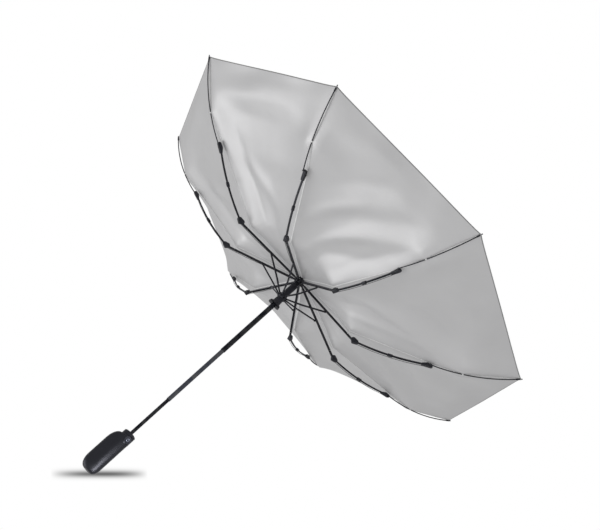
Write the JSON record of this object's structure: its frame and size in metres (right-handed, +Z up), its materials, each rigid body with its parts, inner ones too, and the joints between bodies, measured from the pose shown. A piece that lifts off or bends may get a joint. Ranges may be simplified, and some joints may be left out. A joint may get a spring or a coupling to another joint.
{
  "type": "folding umbrella",
  "caption": "Compact folding umbrella with a silver-lined canopy, telescoping shaft and hinged ribs, shown with its outer ribs blown up past the crown.",
  "frame": {"origin": "the handle's lowest point, on the shaft axis", "axes": "+Z up the shaft from the handle to the crown; +X along the first rib"},
  "size_m": [0.9736, 0.9736, 0.7044],
  "materials": {
    "soft_touch": "satin",
    "button": "satin",
    "shaft_black": "satin",
    "shaft_gunmetal": "satin",
    "spring_steel": "satin",
    "black_plastic": "satin",
    "rib_steel": "satin",
    "rod": "satin",
    "canopy_silver": "satin"
  },
  "bodies": {
    "handle": {"handle_grip": "soft_touch", "inner_tube": "shaft_black", "drive_spring": "spring_steel"},
    "button": {"push_button": "button"},
    "middle_tube": {"middle_tube": "shaft_gunmetal"},
    "outer_tube": {"outer_tube": "shaft_black", "crown": "black_plastic", "crown_wire": "spring_steel", "ferrule_cap": "black_plastic", "canopy": "canopy_silver"},
    "runner": {"runner": "black_plastic", "runner_wire": "spring_steel"},
    "inner_rib_1": {"inner_rib_1": "rib_steel"},
    "stretcher_1": {"stretcher_1": "rib_steel"},
    "elbow_bracket_1": {"elbow_bracket_1": "black_plastic"},
    "middle_rib_1": {"middle_rib_1": "rib_steel"},
    "outer_bracket_1": {"outer_bracket_1": "black_plastic"},
    "outer_rib_1": {"outer_rib_1": "rod"},
    "inner_rib_2": {"inner_rib_2": "rib_steel"},
    "stretcher_2": {"stretcher_2": "rib_steel"},
    "elbow_bracket_2": {"elbow_bracket_2": "black_plastic"},
    "middle_rib_2": {"middle_rib_2": "rib_steel"},
    "outer_bracket_2": {"outer_bracket_2": "black_plastic"},
    "outer_rib_2": {"outer_rib_2": "rod"},
    "inner_rib_3": {"inner_rib_3": "rib_steel"},
    "stretcher_3": {"stretcher_3": "rib_steel"},
    "elbow_bracket_3": {"elbow_bracket_3": "black_plastic"},
    "middle_rib_3": {"middle_rib_3": "rib_steel"},
    "outer_bracket_3": {"outer_bracket_3": "black_plastic"},
    "outer_rib_3": {"outer_rib_3": "rod"},
    "inner_rib_4": {"inner_rib_4": "rib_steel"},
    "stretcher_4": {"stretcher_4": "rib_steel"},
    "elbow_bracket_4": {"elbow_bracket_4": "black_plastic"},
    "middle_rib_4": {"middle_rib_4": "rib_steel"},
    "outer_bracket_4": {"outer_bracket_4": "black_plastic"},
    "outer_rib_4": {"outer_rib_4": "rod"},
    "inner_rib_5": {"inner_rib_5": "rib_steel"},
    "stretcher_5": {"stretcher_5": "rib_steel"},
    "elbow_bracket_5": {"elbow_bracket_5": "black_plastic"},
    "middle_rib_5": {"middle_rib_5": "rib_steel"},
    "outer_bracket_5": {"outer_bracket_5": "black_plastic"},
    "outer_rib_5": {"outer_rib_5": "rod"},
    "inner_rib_6": {"inner_rib_6": "rib_steel"},
    "stretcher_6": {"stretcher_6": "rib_steel"},
    "elbow_bracket_6": {"elbow_bracket_6": "black_plastic"},
    "middle_rib_6": {"middle_rib_6": "rib_steel"},
    "outer_bracket_6": {"outer_bracket_6": "black_plastic"},
    "outer_rib_6": {"outer_rib_6": "rod"},
    "inner_rib_7": {"inner_rib_7": "rib_steel"},
    "stretcher_7": {"stretcher_7": "rib_steel"},
    "elbow_bracket_7": {"elbow_bracket_7": "black_plastic"},
    "middle_rib_7": {"middle_rib_7": "rib_steel"},
    "outer_bracket_7": {"outer_bracket_7": "black_plastic"},
    "outer_rib_7": {"outer_rib_7": "rod"},
    "inner_rib_8": {"inner_rib_8": "rib_steel"},
    "stretcher_8": {"stretcher_8": "rib_steel"},
    "elbow_bracket_8": {"elbow_bracket_8": "black_plastic"},
    "middle_rib_8": {"middle_rib_8": "rib_steel"},
    "outer_bracket_8": {"outer_bracket_8": "black_plastic"},
    "outer_rib_8": {"outer_rib_8": "rod"}
  },
  "joints": [
    {"name": "shaft_lower_slide", "type": "slide", "parent": "handle", "child": "middle_tube", "axis": [0, 0, 1], "range_m": [-0.098, 0]},
    {"name": "shaft_upper_slide", "type": "slide", "parent": "middle_tube", "child": "outer_tube", "axis": [0, 0, 1], "range_m": [-0.149, 0]},
    {"name": "runner_slide", "type": "slide", "parent": "outer_tube", "child": "runner", "axis": [0, 0, 1], "range_m": [-0.11935, 0], "deforming": ["canopy"]},
    {"name": "button_press", "type": "slide", "parent": "handle", "child": "button", "axis": [0.1736, -0.9848, 0], "range_m": [0, 0.0017]},
    {"name": "inner_rib_pivot_1", "type": "hinge", "parent": "outer_tube", "child": "inner_rib_1", "pos_m": [0.008, 0, 0.585], "axis": [0, -1, 0], "range_deg": [-76.77, 0]},
    {"name": "stretcher_pivot_1", "type": "hinge", "parent": "runner", "child": "stretcher_1", "pos_m": [0.0089, 0, 0.534], "axis": [0, -1, 0], "range_deg": [0, 67.7]},
    {"name": "elbow_fold_1", "type": "hinge", "parent": "inner_rib_1", "child": "elbow_bracket_1", "pos_m": [0.1777, 0, 0.5534], "axis": [0, -1, 0], "range_deg": [0, 146.79]},
    {"name": "knee_fold_1", "type": "hinge", "parent": "middle_rib_1", "child": "outer_bracket_1", "pos_m": [0.3251, 0, 0.607], "axis": [0, -1, 0], "range_deg": [-183.02, 0]},
    {"name": "wind_flip", "type": "hinge", "parent": "elbow_bracket_1", "child": "middle_rib_1", "pos_m": [0.18594, 0, 0.55272], "axis": [0, 1, 0], "range_deg": [0, 43], "deforming": ["canopy"]},
    {"name": "outer_flip_1", "type": "hinge", "parent": "outer_bracket_1", "child": "outer_rib_1", "pos_m": [0.33279, 0, 0.6092], "axis": [0, 1, 0], "range_deg": [0, 18.02]},
    {"name": "inner_rib_pivot_2", "type": "hinge", "parent": "outer_tube", "child": "inner_rib_2", "pos_m": [0.00566, 0.00566, 0.585], "axis": [0.7071, -0.7071, 0], "range_deg": [-76.77, 0]},
    {"name": "stretcher_pivot_2", "type": "hinge", "parent": "runner", "child": "stretcher_2", "pos_m": [0.00629, 0.00629, 0.534], "axis": [0.7071, -0.7071, 0], "range_deg": [0, 67.7]},
    {"name": "elbow_fold_2", "type": "hinge", "parent": "inner_rib_2", "child": "elbow_bracket_2", "pos_m": [0.12565, 0.12565, 0.5534], "axis": [0.7071, -0.7071, 0], "range_deg": [0, 146.79]},
    {"name": "knee_fold_2", "type": "hinge", "parent": "middle_rib_2", "child": "outer_bracket_2", "pos_m": [0.22988, 0.22988, 0.607], "axis": [0.7071, -0.7071, 0], "range_deg": [-183.02, 0]},
    {"name": "middle_flip_2", "type": "hinge", "parent": "elbow_bracket_2", "child": "middle_rib_2", "pos_m": [0.13148, 0.13148, 0.55272], "axis": [-0.7071, 0.7071, 0], "range_deg": [0, 43.02]},
    {"name": "outer_flip_2", "type": "hinge", "parent": "outer_bracket_2", "child": "outer_rib_2", "pos_m": [0.23532, 0.23532, 0.6092], "axis": [-0.7071, 0.7071, 0], "range_deg": [0, 18.02]},
    {"name": "inner_rib_pivot_3", "type": "hinge", "parent": "outer_tube", "child": "inner_rib_3", "pos_m": [0, 0.008, 0.585], "axis": [1, 0, 0], "range_deg": [-76.77, 0]},
    {"name": "stretcher_pivot_3", "type": "hinge", "parent": "runner", "child": "stretcher_3", "pos_m": [0, 0.0089, 0.534], "axis": [1, 0, 0], "range_deg": [0, 67.7]},
    {"name": "elbow_fold_3", "type": "hinge", "parent": "inner_rib_3", "child": "elbow_bracket_3", "pos_m": [0, 0.1777, 0.5534], "axis": [1, 0, 0], "range_deg": [0, 146.79]},
    {"name": "knee_fold_3", "type": "hinge", "parent": "middle_rib_3", "child": "outer_bracket_3", "pos_m": [0, 0.3251, 0.607], "axis": [1, 0, 0], "range_deg": [-183.02, 0]},
    {"name": "middle_flip_3", "type": "hinge", "parent": "elbow_bracket_3", "child": "middle_rib_3", "pos_m": [0, 0.18594, 0.55272], "axis": [-1, 0, 0], "range_deg": [0, 43.02]},
    {"name": "outer_flip_3", "type": "hinge", "parent": "outer_bracket_3", "child": "outer_rib_3", "pos_m": [0, 0.33279, 0.6092], "axis": [-1, 0, 0], "range_deg": [0, 18.02]},
    {"name": "inner_rib_pivot_4", "type": "hinge", "parent": "outer_tube", "child": "inner_rib_4", "pos_m": [-0.00566, 0.00566, 0.585], "axis": [0.7071, 0.7071, 0], "range_deg": [-76.77, 0]},
    {"name": "stretcher_pivot_4", "type": "hinge", "parent": "runner", "child": "stretcher_4", "pos_m": [-0.00629, 0.00629, 0.534], "axis": [0.7071, 0.7071, 0], "range_deg": [0, 67.7]},
    {"name": "elbow_fold_4", "type": "hinge", "parent": "inner_rib_4", "child": "elbow_bracket_4", "pos_m": [-0.12565, 0.12565, 0.5534], "axis": [0.7071, 0.7071, 0], "range_deg": [0, 146.79]},
    {"name": "knee_fold_4", "type": "hinge", "parent": "middle_rib_4", "child": "outer_bracket_4", "pos_m": [-0.22988, 0.22988, 0.607], "axis": [0.7071, 0.7071, 0], "range_deg": [-183.02, 0]},
    {"name": "middle_flip_4", "type": "hinge", "parent": "elbow_bracket_4", "child": "middle_rib_4", "pos_m": [-0.13148, 0.13148, 0.55272], "axis": [-0.7071, -0.7071, 0], "range_deg": [0, 43.02]},
    {"name": "outer_flip_4", "type": "hinge", "parent": "outer_bracket_4", "child": "outer_rib_4", "pos_m": [-0.23532, 0.23532, 0.6092], "axis": [-0.7071, -0.7071, 0], "range_deg": [0, 18.02]},
    {"name": "inner_rib_pivot_5", "type": "hinge", "parent": "outer_tube", "child": "inner_rib_5", "pos_m": [-0.008, 0, 0.585], "axis": [0, 1, 0], "range_deg": [-76.77, 0]},
    {"name": "stretcher_pivot_5", "type": "hinge", "parent": "runner", "child": "stretcher_5", "pos_m": [-0.0089, 0, 0.534], "axis": [0, 1, 0], "range_deg": [0, 67.7]},
    {"name": "elbow_fold_5", "type": "hinge", "parent": "inner_rib_5", "child": "elbow_bracket_5", "pos_m": [-0.1777, 0, 0.5534], "axis": [0, 1, 0], "range_deg": [0, 146.79]},
    {"name": "knee_fold_5", "type": "hinge", "parent": "middle_rib_5", "child": "outer_bracket_5", "pos_m": [-0.3251, 0, 0.607], "axis": [0, 1, 0], "range_deg": [-183.02, 0]},
    {"name": "middle_flip_5", "type": "hinge", "parent": "elbow_bracket_5", "child": "middle_rib_5", "pos_m": [-0.18594, 0, 0.55272], "axis": [0, -1, 0], "range_deg": [0, 43.02]},
    {"name": "outer_flip_5", "type": "hinge", "parent": "outer_bracket_5", "child": "outer_rib_5", "pos_m": [-0.33279, 0, 0.6092], "axis": [0, -1, 0], "range_deg": [0, 18.02]},
    {"name": "inner_rib_pivot_6", "type": "hinge", "parent": "outer_tube", "child": "inner_rib_6", "pos_m": [-0.00566, -0.00566, 0.585], "axis": [-0.7071, 0.7071, 0], "range_deg": [-76.77, 0]},
    {"name": "stretcher_pivot_6", "type": "hinge", "parent": "runner", "child": "stretcher_6", "pos_m": [-0.00629, -0.00629, 0.534], "axis": [-0.7071, 0.7071, 0], "range_deg": [0, 67.7]},
    {"name": "elbow_fold_6", "type": "hinge", "parent": "inner_rib_6", "child": "elbow_bracket_6", "pos_m": [-0.12565, -0.12565, 0.5534], "axis": [-0.7071, 0.7071, 0], "range_deg": [0, 146.79]},
    {"name": "knee_fold_6", "type": "hinge", "parent": "middle_rib_6", "child": "outer_bracket_6", "pos_m": [-0.22988, -0.22988, 0.607], "axis": [-0.7071, 0.7071, 0], "range_deg": [-183.02, 0]},
    {"name": "middle_flip_6", "type": "hinge", "parent": "elbow_bracket_6", "child": "middle_rib_6", "pos_m": [-0.13148, -0.13148, 0.55272], "axis": [0.7071, -0.7071, 0], "range_deg": [0, 43.02]},
    {"name": "outer_flip_6", "type": "hinge", "parent": "outer_bracket_6", "child": "outer_rib_6", "pos_m": [-0.23532, -0.23532, 0.6092], "axis": [0.7071, -0.7071, 0], "range_deg": [0, 18.02]},
    {"name": "inner_rib_pivot_7", "type": "hinge", "parent": "outer_tube", "child": "inner_rib_7", "pos_m": [0, -0.008, 0.585], "axis": [-1, 0, 0], "range_deg": [-76.77, 0]},
    {"name": "stretcher_pivot_7", "type": "hinge", "parent": "runner", "child": "stretcher_7", "pos_m": [0, -0.0089, 0.534], "axis": [-1, 0, 0], "range_deg": [0, 67.7]},
    {"name": "elbow_fold_7", "type": "hinge", "parent": "inner_rib_7", "child": "elbow_bracket_7", "pos_m": [0, -0.1777, 0.5534], "axis": [-1, 0, 0], "range_deg": [0, 146.79]},
    {"name": "knee_fold_7", "type": "hinge", "parent": "middle_rib_7", "child": "outer_bracket_7", "pos_m": [0, -0.3251, 0.607], "axis": [-1, 0, 0], "range_deg": [-183.02, 0]},
    {"name": "middle_flip_7", "type": "hinge", "parent": "elbow_bracket_7", "child": "middle_rib_7", "pos_m": [0, -0.18594, 0.55272], "axis": [1, 0, 0], "range_deg": [0, 43.02]},
    {"name": "outer_flip_7", "type": "hinge", "parent": "outer_bracket_7", "child": "outer_rib_7", "pos_m": [0, -0.33279, 0.6092], "axis": [1, 0, 0], "range_deg": [0, 18.02]},
    {"name": "inner_rib_pivot_8", "type": "hinge", "parent": "outer_tube", "child": "inner_rib_8", "pos_m": [0.00566, -0.00566, 0.585], "axis": [-0.7071, -0.7071, 0], "range_deg": [-76.77, 0]},
    {"name": "stretcher_pivot_8", "type": "hinge", "parent": "runner", "child": "stretcher_8", "pos_m": [0.00629, -0.00629, 0.534], "axis": [-0.7071, -0.7071, 0], "range_deg": [0, 67.7]},
    {"name": "elbow_fold_8", "type": "hinge", "parent": "inner_rib_8", "child": "elbow_bracket_8", "pos_m": [0.12565, -0.12565, 0.5534], "axis": [-0.7071, -0.7071, 0], "range_deg": [0, 146.79]},
    {"name": "knee_fold_8", "type": "hinge", "parent": "middle_rib_8", "child": "outer_bracket_8", "pos_m": [0.22988, -0.22988, 0.607], "axis": [-0.7071, -0.7071, 0], "range_deg": [-183.02, 0]},
    {"name": "middle_flip_8", "type": "hinge", "parent": "elbow_bracket_8", "child": "middle_rib_8", "pos_m": [0.13148, -0.13148, 0.55272], "axis": [0.7071, 0.7071, 0], "range_deg": [0, 43.02]},
    {"name": "outer_flip_8", "type": "hinge", "parent": "outer_bracket_8", "child": "outer_rib_8", "pos_m": [0.23532, -0.23532, 0.6092], "axis": [0.7071, 0.7071, 0], "range_deg": [0, 18.02]}
  ],
  "couplings": [
    {"joint": "inner_rib_pivot_1", "follows": "runner_slide", "rad_per_m": 11.225},
    {"joint": "stretcher_pivot_1", "follows": "runner_slide", "rad_per_m": -9.8982},
    {"joint": "elbow_fold_1", "follows": "runner_slide", "rad_per_m": -21.464},
    {"joint": "knee_fold_1", "follows": "runner_slide", "rad_per_m": 26.762},
    {"joint": "outer_flip_1", "follows": "wind_flip", "ratio": 0.41861},
    {"joint": "inner_rib_pivot_2", "follows": "runner_slide", "rad_per_m": 11.225},
    {"joint": "stretcher_pivot_2", "follows": "runner_slide", "rad_per_m": -9.8982},
    {"joint": "elbow_fold_2", "follows": "runner_slide", "rad_per_m": -21.464},
    {"joint": "knee_fold_2", "follows": "runner_slide", "rad_per_m": 26.762},
    {"joint": "middle_flip_2", "follows": "wind_flip", "ratio": 1},
    {"joint": "outer_flip_2", "follows": "wind_flip", "ratio": 0.41861},
    {"joint": "inner_rib_pivot_3", "follows": "runner_slide", "rad_per_m": 11.225},
    {"joint": "stretcher_pivot_3", "follows": "runner_slide", "rad_per_m": -9.8982},
    {"joint": "elbow_fold_3", "follows": "runner_slide", "rad_per_m": -21.464},
    {"joint": "knee_fold_3", "follows": "runner_slide", "rad_per_m": 26.762},
    {"joint": "middle_flip_3", "follows": "wind_flip", "ratio": 1},
    {"joint": "outer_flip_3", "follows": "wind_flip", "ratio": 0.41861},
    {"joint": "inner_rib_pivot_4", "follows": "runner_slide", "rad_per_m": 11.225},
    {"joint": "stretcher_pivot_4", "follows": "runner_slide", "rad_per_m": -9.8982},
    {"joint": "elbow_fold_4", "follows": "runner_slide", "rad_per_m": -21.464},
    {"joint": "knee_fold_4", "follows": "runner_slide", "rad_per_m": 26.762},
    {"joint": "middle_flip_4", "follows": "wind_flip", "ratio": 1},
    {"joint": "outer_flip_4", "follows": "wind_flip", "ratio": 0.41861},
    {"joint": "inner_rib_pivot_5", "follows": "runner_slide", "rad_per_m": 11.225},
    {"joint": "stretcher_pivot_5", "follows": "runner_slide", "rad_per_m": -9.8982},
    {"joint": "elbow_fold_5", "follows": "runner_slide", "rad_per_m": -21.464},
    {"joint": "knee_fold_5", "follows": "runner_slide", "rad_per_m": 26.762},
    {"joint": "middle_flip_5", "follows": "wind_flip", "ratio": 1},
    {"joint": "outer_flip_5", "follows": "wind_flip", "ratio": 0.41861},
    {"joint": "inner_rib_pivot_6", "follows": "runner_slide", "rad_per_m": 11.225},
    {"joint": "stretcher_pivot_6", "follows": "runner_slide", "rad_per_m": -9.8982},
    {"joint": "elbow_fold_6", "follows": "runner_slide", "rad_per_m": -21.464},
    {"joint": "knee_fold_6", "follows": "runner_slide", "rad_per_m": 26.762},
    {"joint": "middle_flip_6", "follows": "wind_flip", "ratio": 1},
    {"joint": "outer_flip_6", "follows": "wind_flip", "ratio": 0.41861},
    {"joint": "inner_rib_pivot_7", "follows": "runner_slide", "rad_per_m": 11.225},
    {"joint": "stretcher_pivot_7", "follows": "runner_slide", "rad_per_m": -9.8982},
    {"joint": "elbow_fold_7", "follows": "runner_slide", "rad_per_m": -21.464},
    {"joint": "knee_fold_7", "follows": "runner_slide", "rad_per_m": 26.762},
    {"joint": "middle_flip_7", "follows": "wind_flip", "ratio": 1},
    {"joint": "outer_flip_7", "follows": "wind_flip", "ratio": 0.41861},
    {"joint": "inner_rib_pivot_8", "follows": "runner_slide", "rad_per_m": 11.225},
    {"joint": "stretcher_pivot_8", "follows": "runner_slide", "rad_per_m": -9.8982},
    {"joint": "elbow_fold_8", "follows": "runner_slide", "rad_per_m": -21.464},
    {"joint": "knee_fold_8", "follows": "runner_slide", "rad_per_m": 26.762},
    {"joint": "middle_flip_8", "follows": "wind_flip", "ratio": 1},
    {"joint": "outer_flip_8", "follows": "wind_flip", "ratio": 0.41861}
  ]
}
